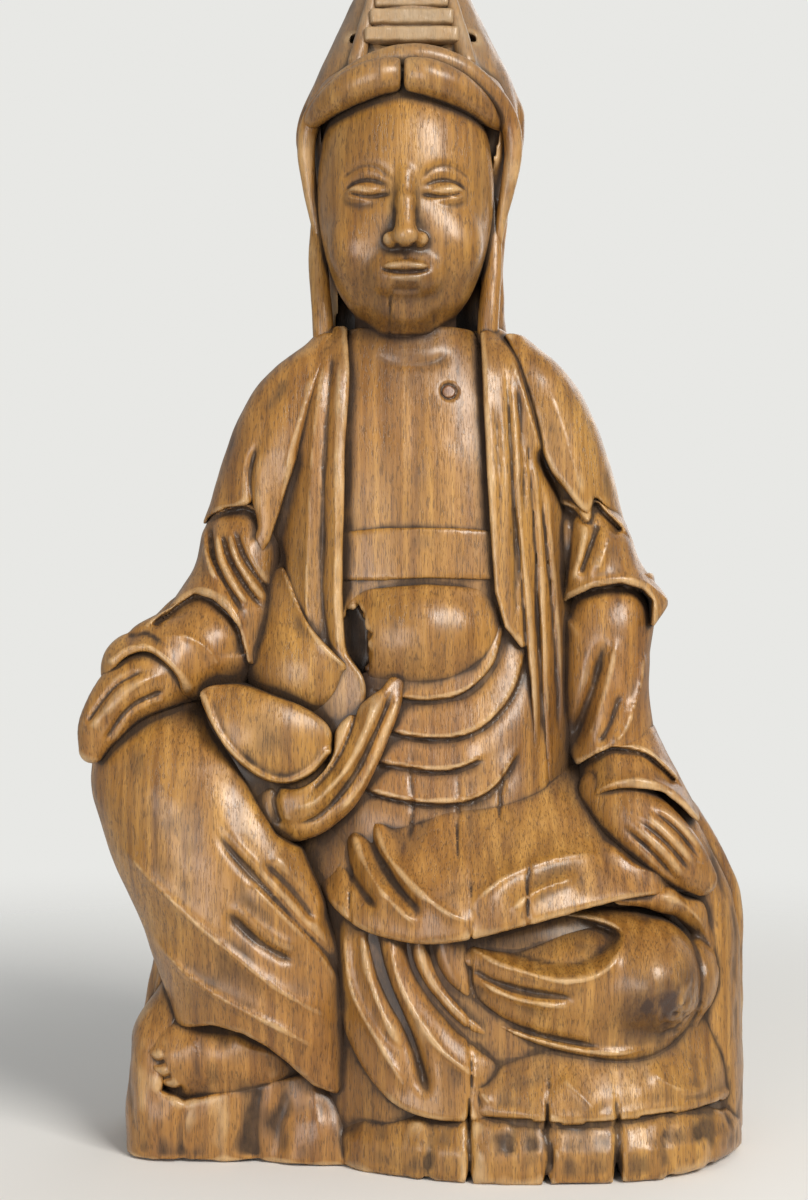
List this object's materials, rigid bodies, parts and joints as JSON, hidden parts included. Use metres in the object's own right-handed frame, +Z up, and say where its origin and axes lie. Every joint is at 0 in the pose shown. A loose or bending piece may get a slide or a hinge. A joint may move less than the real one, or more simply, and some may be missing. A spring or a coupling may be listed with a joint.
{
  "type": "seated devotional figure",
  "caption": "Carved hardwood seated figure in royal ease: veiled head, layered robe, one raised knee, one folded leg, on a low rock slab",
  "frame": {"origin": "middle of the flat underside", "axes": "+Z up, the figure faces -Y, its raised right knee is at -X"},
  "size_m": [0.17, 0.1, 0.31],
  "materials": {
    "carved_wood": "satin varnish over stained hardwood, dark in the recesses, worn light on the ridges",
    "plug_wood": "satin varnish, darker end grain"
  },
  "bodies": {
    "root": {"back_robe": "carved_wood", "belly_wrap": "carved_wood", "chest": "carved_wood", "chest_band": "carved_wood", "chest_plug": "plug_wood", "folded_leg": "carved_wood", "foot_rock": "carved_wood", "hair_crown": "carved_wood", "head": "carved_wood", "lap_apron": "carved_wood", "left_collar_band": "carved_wood", "left_cuff": "carved_wood", "left_ear": "carved_wood", "left_hair_roll": "carved_wood", "left_hand": "carved_wood", "left_lower_sleeve": "carved_wood", "left_mantle": "carved_wood", "left_upper_sleeve": "carved_wood", "raised_leg": "carved_wood", "right_collar_band": "carved_wood", "right_ear": "carved_wood", "right_foot": "carved_wood", "right_forearm_sleeve": "carved_wood", "right_hair_roll": "carved_wood", "right_hand": "carved_wood", "right_mantle": "carved_wood", "right_upper_sleeve": "carved_wood", "robe_pouch": "carved_wood", "robe_train": "carved_wood", "rock_base": "carved_wood", "sash_tongue": "carved_wood", "seat_block": "carved_wood", "skirt_hem": "carved_wood", "skirt_pleats": "carved_wood", "veil": "carved_wood", "waist_folds": "carved_wood", "waist_sash": "carved_wood"}
  },
  "joints": []
}
